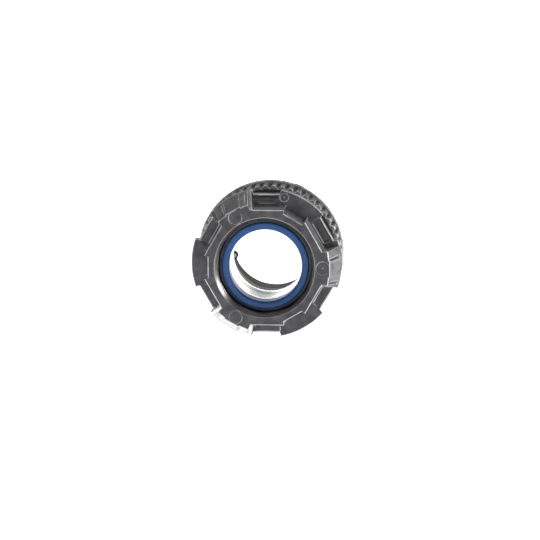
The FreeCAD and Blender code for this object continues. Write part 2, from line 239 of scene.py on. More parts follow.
BOX_PITCH = 1.814
BOX_THREAD_DEPTH = 0.8
BOX_THREAD_RADIUS = 13.15
NUT_PITCH = 1.5875
NUT_THREAD_DEPTH = 0.7
NUT_THREAD_RADIUS = 15.5
THREAD_CLEARANCE = 0.1
CREST_SHARE = 0.12


def thread_form(heights, angles, pitch, depth):
    """How far a right-hand thread's flanks stand in from its crest, from 0 to depth."""
    phase = (heights / pitch - angles / FULL_TURN) % 1.0
    wave = np.abs(phase - 0.5) * 2
    return depth * np.clip((wave - CREST_SHARE) / (1 - 2 * CREST_SHARE), 0, 1)


# ---------------------------------------------------------------- locknut

LEDGE_HEIGHT = 2.75
NOTCH_FLOOR = 18.6
BOSS_APOTHEM = 15.3
CUT_FLOOR = 14.95

# Directions and angles about the bore, in degrees. A claw's angles are measured from its middle, and
# what differs from claw to claw has one value for each, in the order of their directions.
HEX_FLAT_DIRECTION = 30
CUT_DIRECTION = 60
NOTCH_HALF = 11.1
CUT_HALF = 11.1
CLAW_DIRECTIONS = (0, 120, 240)
CLAW_FACE_HALF = 15.6
CLAW_FOOT_LOW = -18.4
CLAW_FOOT_HIGH = (14.6, 14.6, 18.6)
CLAW_RIDGE = -8.0
# The chords of a claw's face: each one's distance from the bore, and its direction from the claw's middle.
CLAW_MIDDLE_CHORD = (17.2, 0.0)
CLAW_LEFT_CHORD = (17.05, 8.5)
CLAW_RIGHT_CHORD = (17.1, -9.5)
CLAW_GROOVES = (6.5, -14.0)
CLAW_GROOVE_DEPTHS = (0.85, 0.25, 0.85)

POCKET_REACH = 17.2
POCKET_DEPTHS = {30: 0.16, 90: 0.3}
FAINT_POCKET_DEPTH = 0.12
OVAL_POCKET = 90

# Marks that ejector pins leave: reach, direction, radius, whether it is on the ledge, the strength of the
# painted highlight around it.
EJECTOR_MARKS = [
    (15.3, 0, 1.75, False, 0.5),
    (15.3, 120, 1.75, False, 0.8),
    (15.3, 240, 1.75, False, 0.3),
    (18.3, 75, 1.15, True, 0.8),
]
# Painted highlight dots in the middle of two of them.
EJECTOR_DOTS = [
    (15.3, 0, 0.1, False, 0.8),
    (18.3, 75, 0.15, True, 0.6),
]
EJECTOR_MARK_DEPTH = 0.06


def locknut_columns():
    """Column angles, close together at the edges of the notches, cuts and claws and at the grooves."""
    zones = []
    for direction in range(0, 360, 60):
        zones += [(direction + HEX_FLAT_DIRECTION + side * NOTCH_HALF, 1.0) for side in (-1, 1)]
    for direction in CLAW_DIRECTIONS:
        zones += [(direction + CUT_DIRECTION + side * CUT_HALF, 0.75) for side in (-1, 1)]
        zones += [(direction - 17.0, 2.0), (direction + 15.0, 1.5), (direction + CLAW_RIDGE, 0.75)]
        zones += [(direction + groove, 1.5) for groove in CLAW_GROOVES]
    return zoned_angles(1.25, 0.25, zones)


def of_nearest_claw(values, angles):
    """Each column's value from a list with one value to a claw."""
    claw = np.round(angles / FULL_TURN * len(CLAW_DIRECTIONS)).astype(int) % len(CLAW_DIRECTIONS)
    return np.array(values)[claw]


def chord_radius(turn, chord):
    distance, direction = chord
    return distance / np.cos(np.radians(turn - direction))


def claw_outline(turn):
    """A claw's radius at the face: a chord in the middle and another, set back a little, on each side."""
    outline = chord_radius(turn, CLAW_MIDDLE_CHORD)
    outline = np.where(turn < CLAW_RIDGE, chord_radius(turn, CLAW_RIGHT_CHORD), outline)
    return np.where(turn > CLAW_GROOVES[0], chord_radius(turn, CLAW_LEFT_CHORD), outline)


def notched_flange(angles, outer):
    """The flange's radius, with a flat-floored notch in front of each of the hexagon's flats."""
    turn = nearest_turn(angles, HEX_FLAT_DIRECTION, 6)
    floor = np.minimum(NOTCH_FLOOR / np.cos(turn), outer)
    return outer + (floor - outer) * soft_window(np.degrees(turn), NOTCH_HALF, 0.6)


def cut_boss(angles):
    """The hexagon boss, with the three corners between the claws cut back."""
    boss = polygon_radius(angles, BOSS_APOTHEM, 6, HEX_FLAT_DIRECTION)
    turn = nearest_turn(angles, CUT_DIRECTION, 3)
    return boss + (CUT_FLOOR / np.cos(turn) - boss) * soft_window(np.degrees(turn), CUT_HALF, 0.6)


def make_locknut():
    angles = locknut_columns()
    bottom, top = bottom_of("locknut"), top_of("locknut")
    ledge = bottom + LEDGE_HEIGHT
    bore = BOX_THREAD_RADIUS + THREAD_CLEARANCE
    crest = bore - BOX_THREAD_DEPTH
    flange = notched_flange(angles, reach_of("locknut"))
    boss = cut_boss(angles)
    claw_turn = np.degrees(nearest_turn(angles, 0, 3))
    foot_high = of_nearest_claw(CLAW_FOOT_HIGH, angles)
    at_face = soft_between(claw_turn, -CLAW_FACE_HALF, CLAW_FACE_HALF, 1.0)
    at_foot = soft_between(claw_turn, CLAW_FOOT_LOW, foot_high, 0.6)
    boss_top = boss + (claw_outline(claw_turn) - boss) * at_face
    boss_foot = boss + (flange - 0.05 - boss) * at_foot

    radii, heights = rounded_rows([
        (bore + 0.5, bottom, 0.1, 2),
        (flange, bottom, 0.25, 2),
        (flange, ledge, 0.26, 18),
        (boss_foot, ledge, 0.4, 20),
        (boss_top, top, 0.28, 21),
        (bore - 0.02, top, 0.12, 3),
        (crest, top - 0.85, 0.1, 46),
        (crest, bottom + 0.7, 0.1, 1),
    ], len(angles))
    grid = np.broadcast_to(angles, radii.shape)
    press_ledge_pockets(radii, heights, grid, ledge)
    press_ejector_marks(radii, heights, grid, ledge, top)
    cut_claw_grooves(radii, heights, grid, ledge, top)
    on_thread = (radii < crest + 0.01) & (heights < top - 0.9) & (heights > bottom + 0.72)
    form = thread_form(heights, grid, BOX_PITCH, BOX_THREAD_DEPTH)
    radii = np.where(on_thread, bore - form, radii)
    piece = turned_piece("locknut_look", angles, radii, heights)
    return dress(piece, "locknut", "box_locknut", locknut_zinc(top - ledge))


def press_ledge_pockets(radii, heights, grid, ledge):
    """Shallow pockets in the ledge, one in front of each notch. One is only an oval dent."""
    for direction in range(HEX_FLAT_DIRECTION, 360, 60):
        turn = turn_from(grid, direction)
        out = radii * np.cos(turn) - POCKET_REACH
        side = radii * np.sin(turn)
        shape = soft_window(out, 1.1, 0.35) * soft_window(side - 0.4, 3.3, 0.5)
        if direction == OVAL_POCKET:
            shape = soft_step(1 - (out / 1.2) ** 2 - (side / 3.9) ** 2, 0.5, 1.0)
        in_front = (np.abs(turn) < 0.5) & (np.abs(heights - ledge) < 0.02)
        heights -= np.where(in_front, POCKET_DEPTHS.get(direction, FAINT_POCKET_DEPTH) * shape, 0)


def press_ejector_marks(radii, heights, grid, ledge, top):
    for reach, direction, radius, on_ledge, _ in EJECTOR_MARKS:
        turn = turn_from(grid, direction)
        distance = np.hypot(radii * np.cos(turn) - reach, radii * np.sin(turn))
        on_face = np.abs(heights - (ledge if on_ledge else top)) < 0.1
        heights -= np.where(on_face, EJECTOR_MARK_DEPTH * soft_window(distance, radius, 0.3), 0)


def cut_claw_grooves(radii, heights, grid, ledge, top):
    """Two short grooves down each claw's sloped outer wall, faint on the upper claw."""
    share = (heights - ledge) / (top - ledge)
    along = soft_window(share - 0.48, 0.36, 0.12)
    on_wall = (radii > 16.6) & (share > 0.05) & (share < 0.97)
    turn = np.degrees(nearest_turn(grid, 0, 3))
    depth = of_nearest_claw(CLAW_GROOVE_DEPTHS, grid)
    for groove in CLAW_GROOVES:
        across = np.exp(-((turn - groove) / 0.8) ** 2)
        radii -= np.where(on_wall, depth * along * across, 0)


# ---------------------------------------------------------------- compression nut

TOOTH_COUNT = 52
COLUMNS_PER_TOOTH = 12
TOOTH_LENGTH = 6.0
TOOTH_RADIUS = 19.55
TOOTH_DEPTH = 0.8
TOOTH_GAP_HALF_ANGLE = math.radians(2.35)
RIM_HEIGHT = 2.0
OCTAGON_APOTHEM = 17.5
OCTAGON_CORNER = 18.5
FLATS_BOTTOM = 5.3
MOUTH_FACE_RADIUS = 14.6
MOUTH_RADIUS = 12.16
MOUTH_LIP_HEIGHT = 3.5
CHAMBER_RADIUS = 14.6
CHAMBER_TOP = 14.3


def make_compression_nut():
    angles = even_angles(TOOTH_COUNT * COLUMNS_PER_TOOTH)
    top = top_of("compression_nut")
    collar = top - TOOTH_LENGTH
    rim_bottom = collar - RIM_HEIGHT
    rim = reach_of("compression_nut") - 0.03
    octagon = np.minimum(polygon_radius(angles, OCTAGON_APOTHEM, 8, 0), OCTAGON_CORNER)
    chamfered = np.minimum(octagon, OCTAGON_APOTHEM)
    gap = np.clip(1 - np.abs(nearest_turn(angles, 0, TOOTH_COUNT)) / TOOTH_GAP_HALF_ANGLE, 0, 1)
    teeth = TOOTH_RADIUS - TOOTH_DEPTH * np.minimum(gap * 1.08, 1.0)
    bore = NUT_THREAD_RADIUS + THREAD_CLEARANCE
    crest = bore - NUT_THREAD_DEPTH
    radii, heights = rounded_rows([
        (MOUTH_RADIUS + 0.44, 0.0, 0.15, 1),
        (MOUTH_FACE_RADIUS, 0.0, 0.7, 4),
        (chamfered, FLATS_BOTTOM, 0.25, 0),
        (octagon, FLATS_BOTTOM + 0.85, 0.25, 12),
        (octagon, rim_bottom, 0.5, 0),
        (rim, rim_bottom, 0.5, 1),
        (rim, collar, 0.3, 1),
        (teeth, collar, 0.2, 8),
        (teeth - 0.05, top, 0.5, 4),
        (bore + 0.7, top, 0.15, 0),
        (crest, top - 1.4, 0.1, 54),
        (crest, CHAMBER_TOP, 0.1, 0),
        (CHAMBER_RADIUS, CHAMBER_TOP, 0.1, 5),
        (CHAMBER_RADIUS, MOUTH_LIP_HEIGHT, 0.3, 1),
        (MOUTH_RADIUS, MOUTH_LIP_HEIGHT, 0.3, 2),
        (MOUTH_RADIUS, 0.44, 0.2, 0),
    ], len(angles), arc_rows=3)
    grid = np.broadcast_to(angles, radii.shape)
    on_thread = (np.abs(radii - crest) < 0.005) & (heights < top - 1.5) & (heights > CHAMBER_TOP + 0.1)
    form = thread_form(heights, grid, NUT_PITCH, NUT_THREAD_DEPTH)
    radii = np.where(on_thread, bore - form, radii)
    piece = turned_piece("compression_nut_look", angles, radii, heights)
    return dress(piece, "compression_nut", "nut", nut_zinc(rim_bottom))


# ---------------------------------------------------------------- body

HEXAGON_APOTHEM = 16.0
HEXAGON_CORNER = 18.35
HEXAGON_HEIGHT = 4.6
SHOULDER_RADIUS = 17.6
SEAL_SEAT_RADIUS = 16.6
SEAL_SEAT_DEPTH = 0.8
SEAL_CLEARANCE = 0.05
INSULATOR_SEAT_RADIUS = 10.45
THROAT_LEDGE_RADIUS = 9.66
THROAT_RADIUS = 10.0
SOCKET_RADIUS = 11.9
SOCKET_DEPTH = 5.2
TAPER_MOUTH_RADIUS = 13.4


def make_connector_body():
    angles = zoned_angles(1.25, 0.25, [(60 * corner, 0.5) for corner in range(6)])
    hexagon = np.minimum(polygon_radius(angles, HEXAGON_APOTHEM, 6, HEX_FLAT_DIRECTION), HEXAGON_CORNER)
    chamfered = np.minimum(hexagon, 17.3)
    shoulder = np.maximum(hexagon, SHOULDER_RADIUS)
    top, bottom = top_of("connector_body"), bottom_of("connector_body")
    seal_seat = bottom_of("box_seal") - SEAL_CLEARANCE
    flange_top = seal_seat + SEAL_SEAT_DEPTH
    flange_bottom = flange_top - HEXAGON_HEIGHT
    insulator_seat = bottom_of("throat_insulator")
    stop = height_of(0.0)
    radii, heights = rounded_rows([
        (TAPER_MOUTH_RADIUS, bottom, 0.15, 0),
        (NUT_THREAD_RADIUS - 0.8, bottom, 0.2, 0),
        (NUT_THREAD_RADIUS, bottom + 0.8, 0.2, 66),
        (NUT_THREAD_RADIUS, flange_bottom, 0.4, 1),
        (chamfered, flange_bottom, 0.25, 0),
        (hexagon, flange_bottom + 0.8, 0.2, 3),
        (hexagon, flange_top - 1.8, 0.2, 0),
        (shoulder, flange_top - 1.4, 0.2, 1),
        (shoulder, flange_top - 0.3, 0.2, 0),
        (SHOULDER_RADIUS - 0.2, flange_top, 0.15, 0),
        (SEAL_SEAT_RADIUS, flange_top, 0.1, 0),
        (SEAL_SEAT_RADIUS, seal_seat, 0.1, 0),
        (BOX_THREAD_RADIUS, seal_seat, 0.1, 0),
        (BOX_THREAD_RADIUS, seal_seat + 1.0, 0.1, 54),
        (BOX_THREAD_RADIUS, top - 0.8, 0.15, 0),
        (BOX_THREAD_RADIUS - 0.75, top, 0.2, 0),
        (INSULATOR_SEAT_RADIUS + 0.15, top, 0.1, 0),
        (INSULATOR_SEAT_RADIUS, top - 0.2, 0.1, 0),
        (INSULATOR_SEAT_RADIUS, insulator_seat, 0.05, 0),
        (THROAT_LEDGE_RADIUS, insulator_seat, 0.05, 0),
        (THROAT_LEDGE_RADIUS, insulator_seat - 0.45, 0.12, 0),
        (THROAT_RADIUS, insulator_seat - 0.7, 0.15, 6),
        (THROAT_RADIUS, stop, 0.25, 0),
        (SOCKET_RADIUS, stop, 0.2, 1),
        (SOCKET_RADIUS, stop - SOCKET_DEPTH, 0.4, 1),
    ], len(angles), arc_rows=2)
    grid = np.broadcast_to(angles, radii.shape)
    on_nut_thread = (np.abs(radii - NUT_THREAD_RADIUS) < 0.005) & (heights < flange_bottom - 1.5)
    on_box_thread = (np.abs(radii - BOX_THREAD_RADIUS) < 0.005) & (heights > flange_top + 0.3)
    nut_form = thread_form(heights, grid, NUT_PITCH, NUT_THREAD_DEPTH)
    box_form = thread_form(heights, grid, BOX_PITCH, BOX_THREAD_DEPTH)
    radii = radii - np.where(on_nut_thread, nut_form, 0) - np.where(on_box_thread, box_form, 0)
    piece = turned_piece("connector_body_look", angles, radii, heights)
    return dress(piece, "connector_body", "fitting_body", body_zinc())


# ---------------------------------------------------------------- insulator and seals

ROUND_COLUMNS = 240
INSULATOR_COLUMNS = 256
INSULATOR_MOUTH_RADIUS = 9.85
INSULATOR_BORE_RADIUS = 9.58
INSULATOR_SLEEVE_RADIUS = 10.4
INSULATOR_LIP_HEIGHT = 1.1

BOX_SEAL_BORE_RADIUS = 13.3
SEAL_RIDGE_MIDDLE = 14.9
SEAL_RIDGE_HEIGHT = 0.12
SEAL_RIDGE_PITCH = 1.1
CONDUIT_SEAL_BORE_RADIUS = 11.85
CONDUIT_SEAL_LIPS = 3
CONDUIT_SEAL_LIP_HALF_HEIGHT = 0.15


def make_throat_insulator():
    angles = even_angles(INSULATOR_COLUMNS)
    low, high = bottom_of("throat_insulator"), top_of("throat_insulator")
    lip = reach_of("throat_insulator")
    lip_seat = high - INSULATOR_LIP_HEIGHT
    radii, heights = rounded_rows([
        (INSULATOR_MOUTH_RADIUS, low, 0.2, 0),
        (INSULATOR_SLEEVE_RADIUS, low, 0.2, 3),
        (INSULATOR_SLEEVE_RADIUS, lip_seat, 0.05, 0),
        (lip, lip_seat, 0.15, 0),
        (lip, high, 0.95, 0),
        (INSULATOR_BORE_RADIUS, high, 1.0, 4),
    ], len(angles), arc_rows=8)
    piece = turned_piece("throat_insulator_look", angles, radii, heights)
    return dress(piece, "throat_insulator", "fitting_body", blue_nylon())


def make_box_seal():
    """The rubber ring, with shallow round ridges on the side that meets the box."""
    angles = even_angles(ROUND_COLUMNS)
    low, high = bottom_of("box_seal"), top_of("box_seal")
    outer = reach_of("box_seal")
    radii, heights = rounded_rows([
        (BOX_SEAL_BORE_RADIUS, low, 0.2, 2),
        (outer, low, 0.2, 3),
        (outer, high, 0.5, 10),
        (BOX_SEAL_BORE_RADIUS, high, 0.5, 3),
    ], len(angles))
    ridges = SEAL_RIDGE_HEIGHT * np.cos((radii - SEAL_RIDGE_MIDDLE) * FULL_TURN / SEAL_RIDGE_PITCH)
    ridged = (heights > high - 0.05) & (radii > BOX_SEAL_BORE_RADIUS + 0.6) & (radii < outer - 0.55)
    heights = heights - np.where(ridged, SEAL_RIDGE_HEIGHT - ridges, 0)
    piece = turned_piece("box_seal_look", angles, radii, heights)
    rubber = black_rubber("box_seal_look_rubber", 0.012, 0.03)
    return dress(piece, "box_seal", "seal_ring", rubber)


def make_conduit_seal():
    """The rubber ring, with soft lips around its bore that grip the conduit."""
    angles = even_angles(ROUND_COLUMNS)
    low, high = bottom_of("conduit_seal"), top_of("conduit_seal")
    outer = reach_of("conduit_seal")
    radii, heights = rounded_rows([
        (CONDUIT_SEAL_BORE_RADIUS, low, 0.5, 16),
        (outer, low, 0.5, 2),
        (outer, high, 0.5, 2),
        (CONDUIT_SEAL_BORE_RADIUS, high, 0.5, 16),
    ], len(angles))
    wave = np.cos((heights - low) * FULL_TURN * CONDUIT_SEAL_LIPS / (high - low))
    on_bore = (radii < CONDUIT_SEAL_BORE_RADIUS + 0.01) & (heights > low + 0.6) & (heights < high - 0.6)
    radii = radii + np.where(on_bore, CONDUIT_SEAL_LIP_HALF_HEIGHT * (1 - wave), 0)
    piece = turned_piece("conduit_seal_look", angles, radii, heights)
    rubber = black_rubber("conduit_seal_look_rubber", 0.22, 0.3)
    return dress(piece, "conduit_seal", "gland_stack", rubber)


# ---------------------------------------------------------------- slip washer and gland ring

WASHER_BORE_RADIUS = 12.0
GLAND_BORE_RADIUS = 11.8
GLAND_WALL = 1.5
GLAND_BEVEL_WIDTH = 0.9
GLAND_BEVEL_HEIGHT = 1.8
GLAND_COLUMNS = 340
GLAND_GAP_DIRECTION = 173.5
GLAND_GAP_HALF = 7.5
TAB_LENGTH = 2.2
TAB_HALF_ANGLE = 8.0
TAB_DIRECTION = GLAND_GAP_DIRECTION + GLAND_GAP_HALF + 7.5


def make_slip_washer():
    angles = even_angles(ROUND_COLUMNS)
    low, high = bottom_of("slip_washer"), top_of("slip_washer")
    outer = reach_of("slip_washer")
    radii, heights = rounded_rows([
        (WASHER_BORE_RADIUS, low, 0.15, 1),
        (outer, low, 0.3, 2),
        (outer, high, 0.15, 1),
        (WASHER_BORE_RADIUS, high, 0.3, 2),
    ], len(angles))
    piece = turned_piece("slip_washer_look", angles, radii, heights)
    return dress(piece, "slip_washer", "gland_stack", washer_steel())


def make_gland_ring():
    """The split ring: a section swept from one side of the gap to the other, with a tab bent inwards."""
    start = math.radians(GLAND_GAP_DIRECTION + GLAND_GAP_HALF)
    finish = math.radians(GLAND_GAP_DIRECTION + 360 - GLAND_GAP_HALF)
    angles = np.linspace(start, finish, GLAND_COLUMNS)
    low, high = bottom_of("gland_ring"), top_of("gland_ring")
    outer = GLAND_BORE_RADIUS + GLAND_WALL
    bevel_start = outer - GLAND_BEVEL_WIDTH
    radii, heights = rounded_rows([
        (GLAND_BORE_RADIUS, low, 0.2, 8),
        (bevel_start, low, 0.2, 2),
        (outer, low + GLAND_BEVEL_HEIGHT, 0.3, 3),
        (outer, high - GLAND_BEVEL_HEIGHT, 0.3, 2),
        (bevel_start, high, 0.2, 1),
        (GLAND_BORE_RADIUS, high, 0.2, 8),
    ], len(angles))
    along_tab = np.degrees(angles) - TAB_DIRECTION
    tab = TAB_LENGTH * np.sqrt(np.clip(1 - (along_tab / TAB_HALF_ANGLE) ** 2, 0, 1))
    radii = radii - tab * soft_step(heights, high - 2.4, 0.6) * (radii < GLAND_BORE_RADIUS + 0.3)
    rows, columns = radii.shape
    faces = grid_faces(rows, columns, True, False).tolist()
    faces.append([row * columns for row in range(rows)])
    faces.append([row * columns + columns - 1 for row in reversed(range(rows))])
    piece = new_piece("gland_ring_look", points_about_bore(radii, angles, heights), faces)
    return dress(piece, "gland_ring", "gland_stack", gland_steel())


# ---------------------------------------------------------------- materials


def grey(value):
    return value, value, value


class Nodes:
    """A material's node tree, with short calls for the nodes that every material here needs."""

    def __init__(self, name):
        self.material = bpy.data.materials.new(name)
        self.material.use_nodes = True
        self.tree = self.material.node_tree
        self.shader = self.tree.nodes["Principled BSDF"]
        self.place = self.tree.nodes.new("ShaderNodeTexCoord").outputs["Object"]

    def set(self, socket, value):
        self.shader.inputs[socket].default_value = value

    def feed(self, socket, output):
        self.link(output, self.shader.inputs[socket])

    def add(self, kind, **settings):
        node = self.tree.nodes.new(kind)
        for name, value in settings.items():
            setattr(node, name, value)
        return node

    def link(self, output, target):
        self.tree.links.new(output, target)

    def noise(self, scale, detail=4.0, stretch=(1, 1, 1)):
        """Noise with this many waves to the metre, stretched by the given factors."""
        mapping = self.add("ShaderNodeMapping")
        mapping.inputs["Scale"].default_value = stretch
        self.link(self.place, mapping.inputs["Vector"])
        texture = self.add("ShaderNodeTexNoise")
        texture.inputs["Scale"].default_value = scale
        texture.inputs["Detail"].default_value = detail
        self.link(mapping.outputs["Vector"], texture.inputs["Vector"])
        return texture.outputs["Fac"]

    def ramp(self, source, stops):
        """A colour between stops of (position, colour)."""
        ramp = self.add("ShaderNodeValToRGB")
        elements = ramp.color_ramp.elements
        while len(elements) < len(stops):
            elements.new(0.5)
        for element, (position, colour) in zip(elements, stops):
            element.position = position
            element.color = (*colour, 1)
        self.link(source, ramp.inputs["Fac"])
        return ramp.outputs["Color"]

    def math(self, operation, first, second=0.0):
        node = self.add("ShaderNodeMath", operation=operation)
        for socket, value in zip(node.inputs, (first, second)):
            if isinstance(value, (int, float)):
                socket.default_value = value
            else:
                self.link(value, socket)
        return node.outputs["Value"]

    def all_of(self, first, *others):
        """The product of masks, each 0 to 1."""
        product = first
        for other in others:
            product = self.math("MULTIPLY", product, other)
        return product

    def none_of(self, mask):
        return self.math("SUBTRACT", 1.0, mask)

    def between(self, source, low, high):
        """Map 0..1 onto low..high."""
        node = self.add("ShaderNodeMapRange")
        node.inputs["To Min"].default_value = low
        node.inputs["To Max"].default_value = high
        self.link(source, node.inputs["Value"])
        return node.outputs["Result"]

    def smooth(self, source, low, high):
        """0 at low, 1 at high."""
        node = self.add("ShaderNodeMapRange")
        node.inputs["From Min"].default_value = low
        node.inputs["From Max"].default_value = high
        self.link(source, node.inputs["Value"])
        return node.outputs["Result"]

    def mix(self, share, first, second):
        node = self.add("ShaderNodeMix", data_type="RGBA")
        self.link(share, node.inputs["Factor"])
        self.link(first, node.inputs["A"])
        self.link(second, node.inputs["B"])
        return node.outputs["Result"]

    def multiply(self, first, second):
        node = self.add("ShaderNodeMix", data_type="RGBA", blend_type="MULTIPLY")
        node.inputs["Factor"].default_value = 1.0
        self.link(first, node.inputs["A"])
        self.link(second, node.inputs["B"])
        return node.outputs["Result"]

    def bump(self, source, strength, distance, below=None):
        node = self.add("ShaderNodeBump")
        node.inputs["Strength"].default_value = strength
        node.inputs["Distance"].default_value = distance
        self.link(source, node.inputs["Height"])
        if below is not None:
            self.link(below, node.inputs["Normal"])
        return node.outputs["Normal"]

    def mark(self, name):
        """A value stored on the mesh's points: edge_line or crease_line."""
        return self.add("ShaderNodeAttribute", attribute_name=name).outputs["Fac"]

    def part(self, axis):
        """The place's X, Y or Z, in metres."""
        parts = self.add("ShaderNodeSeparateXYZ")
        self.link(self.place, parts.inputs["Vector"])
        return parts.outputs[axis]

    def facing(self, axis):
        """How much the surface faces along X, Y or Z, from -1 to 1."""
        normal = self.add("ShaderNodeSeparateXYZ")
        self.link(self.add("ShaderNodeTexCoord").outputs["Normal"], normal.inputs["Vector"])
        return normal.outputs[axis]

    def distance_from(self, reach, direction):
        """Distance, in metres, from a line along the bore at this radius in mm and direction in degrees."""
        angle = math.radians(direction)
        across = self.math("SUBTRACT", self.part("X"), reach * math.cos(angle) * MM)
        up = self.math("SUBTRACT", self.part("Z"), reach * math.sin(angle) * MM)
        square = self.math("ADD", self.math("MULTIPLY", across, across), self.math("MULTIPLY", up, up))
        return self.math("SQRT", square)

    def inside(self, radius):
        """1 nearer to the bore's axis than this radius, in millimetres."""
        return self.math("LESS_THAN", self.distance_from(0.0, 0.0), radius * MM)

    def outside(self, radius):
        """1 further from the bore's axis than this radius, in millimetres."""
        return self.math("GREATER_THAN", self.distance_from(0.0, 0.0), radius * MM)

    def outer_walls(self, radius):
        """1 on walls around the bore beyond this radius, 0 on faces square to the bore."""
        square_to_bore = self.smooth(self.math("ABSOLUTE", self.facing("Y")), 0.9, 0.98)
        return self.all_of(self.none_of(square_to_bore), self.outside(radius))


class CastZinc(Nodes):
    """The dull dark skin of a zinc die casting, with a painted highlight along its edges."""

    DARK = (0.054, 0.054, 0.0565)
    MIDDLE = (0.07, 0.07, 0.073)
    LIGHT = (0.094, 0.094, 0.098)
    # Painted highlight colours for the edges.
    EDGE_HIGHLIGHT_DARK = (0.34, 0.34, 0.35)
    EDGE_HIGHLIGHT_LIGHT = (0.66, 0.66, 0.67)

    def __init__(self, name, grazing_tint, smooth_part=None):
        super().__init__(name)
        self.set("Metallic", 1.0)
        self.set("Specular Tint", (*grey(grazing_tint), 1))
        self.blotches = self.noise(420, 6.0)
        self.clouds = self.noise(130, 3.0)
        grain = self.noise(2600, 3.0)
        self.colour = self.multiply(
            self.ramp(self.blotches, [(0.3, self.DARK), (0.5, self.MIDDLE), (0.72, self.LIGHT)]),
            self.ramp(self.clouds, [(0.3, grey(0.91)), (0.7, grey(1.07))]))
        self.roughness = self.between(grain, 0.36, 0.52)
        rough_part = 1.0 if smooth_part is None else self.none_of(smooth_part(self))
        waves = self.bump(self.all_of(self.blotches, rough_part), 0.4, 0.07 * MM)
        self.relief = self.bump(self.all_of(grain, rough_part), 0.3, 0.03 * MM, waves)

    def paint(self, mask, colour):
        self.colour = self.mix(mask, self.colour, colour)

    def polish(self, mask, amount):
        self.roughness = self.math("SUBTRACT", self.roughness, self.all_of(mask, amount))

    def satin(self):
        """The brighter grey of walls that the die has drawn smooth."""
        drawn = self.noise(900, 4.0, (1.0, 0.08, 1.0))
        return self.multiply(self.ramp(self.blotches, [(0.3, grey(0.15)), (0.68, grey(0.25))]),
                             self.ramp(drawn, [(0.35, grey(0.85)), (0.65, grey(1.12))]))

    def painted_light_from_below(self, upper, middle):
        """Painted light and shade: a patchy grey, darkest at the object's top, lighter at its sides and
        brightest below.
        """
        below = self.smooth(self.part("Z"), 14 * MM, -14 * MM)
        shade = self.ramp(below, [(0.25, grey(upper)), (0.45, grey(middle)),
                                  (0.72, grey(middle)), (0.9, grey(0.92))])
        return self.multiply(shade, self.ramp(self.blotches, [(0.3, grey(0.62)), (0.62, grey(1.05))]))

    def painted_highlight_circle(self, reach, direction, radius, depth, strength):
        """A thin patchy circle of painted highlight, of this strength, on a face this far behind the
        locknut's face.
        """
        off = self.math("SUBTRACT", self.distance_from(reach, direction), radius * MM)
        on_line = self.smooth(self.math("ABSOLUTE", off), 0.14 * MM, 0.05 * MM)
        level = self.math("SUBTRACT", self.part("Y"), LOCKNUT_FACE_Y + depth * MM)
        on_level = self.math("LESS_THAN", self.math("ABSOLUTE", level), 0.6 * MM)
        return self.all_of(on_line, on_level, self.smooth(self.clouds, 0.38, 0.6), strength)

    def finish(self, line):
        """Paint highlights along the lines, paint shade into the creases and wire up the shader."""
        # Painted shade: darker where the surface bends inwards, in creases and at the feet of walls.
        crease_shade = self.ramp(self.mark("crease_line"), [(0.2, grey(1.0)), (1.0, grey(0.84))])
        # Painted highlight along outward bends, mixed in by the edge line.
        edge_highlight = self.ramp(self.blotches, [(0.3, self.EDGE_HIGHLIGHT_DARK), (0.65, self.EDGE_HIGHLIGHT_LIGHT)])
        share = self.all_of(line, self.between(self.clouds, 0.6, 1.2))
        self.feed("Base Color", self.mix(share, self.multiply(self.colour, crease_shade), edge_highlight))
        self.feed("Roughness", self.roughness)
        self.feed("Normal", self.relief)
        return self.material


def nut_zinc(rim_bottom):
    """The casting with painted highlights along the tooth crests, the rim and its other edges, and painted
    light and shade on the rim and teeth, darkest at the top and brightest below.
    """
    zinc = CastZinc("nut_cast_zinc", 0.8)
    zinc.paint(zinc.outer_walls(15.0), zinc.satin())
    before_rim = zinc.math("LESS_THAN", zinc.part("Y"), MOUTH_Y - rim_bottom * MM)
    # Painted light and shade on the rim and teeth: darkest at the top, brightest below.
    zinc.paint(zinc.all_of(zinc.outside(18.3), before_rim), zinc.painted_light_from_below(0.2, 0.6))
    return zinc.finish(zinc.all_of(zinc.mark("edge_line"), 0.6))


def locknut_zinc(ledge_depth):
    """The casting with painted light and shade on its outer walls, darkest at the top and brightest below, a
    turned countersink, and painted highlights along its edges and around the circles that ejector pins left.
    """
    zinc = CastZinc("locknut_cast_zinc", 0.6)
    # Painted light and shade on the outer walls: darkest at the top, brightest below.
    zinc.paint(zinc.outer_walls(13.3), zinc.painted_light_from_below(0.17, 0.2))
    zinc.paint(zinc.outer_walls(16.4), zinc.painted_light_from_below(0.13, 0.24))
    countersink = zinc.inside(13.3)
    zinc.paint(countersink, zinc.ramp(zinc.clouds, [(0.3, (0.15, 0.135, 0.13)), (0.7, (0.26, 0.24, 0.235))]))
    zinc.polish(countersink, 0.14)
    dull_upper_walls = zinc.all_of(zinc.outer_walls(14.9), zinc.smooth(zinc.facing("Z"), 0.1, 0.5))
    zinc.feed("Metallic", zinc.none_of(zinc.all_of(dull_upper_walls, 0.6)))
    line = zinc.all_of(zinc.mark("edge_line"), zinc.none_of(countersink))
    # The ejector marks' rims and two dots get the same painted highlight as the edges.
    for reach, direction, radius, on_ledge, strength in EJECTOR_MARKS + EJECTOR_DOTS:
        depth = ledge_depth if on_ledge else 0.0
        line = zinc.math("MAXIMUM", line, zinc.painted_highlight_circle(reach, direction, radius, depth, strength))
    return zinc.finish(line)


def turned_throat(zinc):
    """1 on the body's throat, before the conduit stop."""
    before_stop = zinc.math("LESS_THAN", zinc.part("Y"), -0.1 * MM)
    return zinc.all_of(zinc.inside(10.5), before_stop)


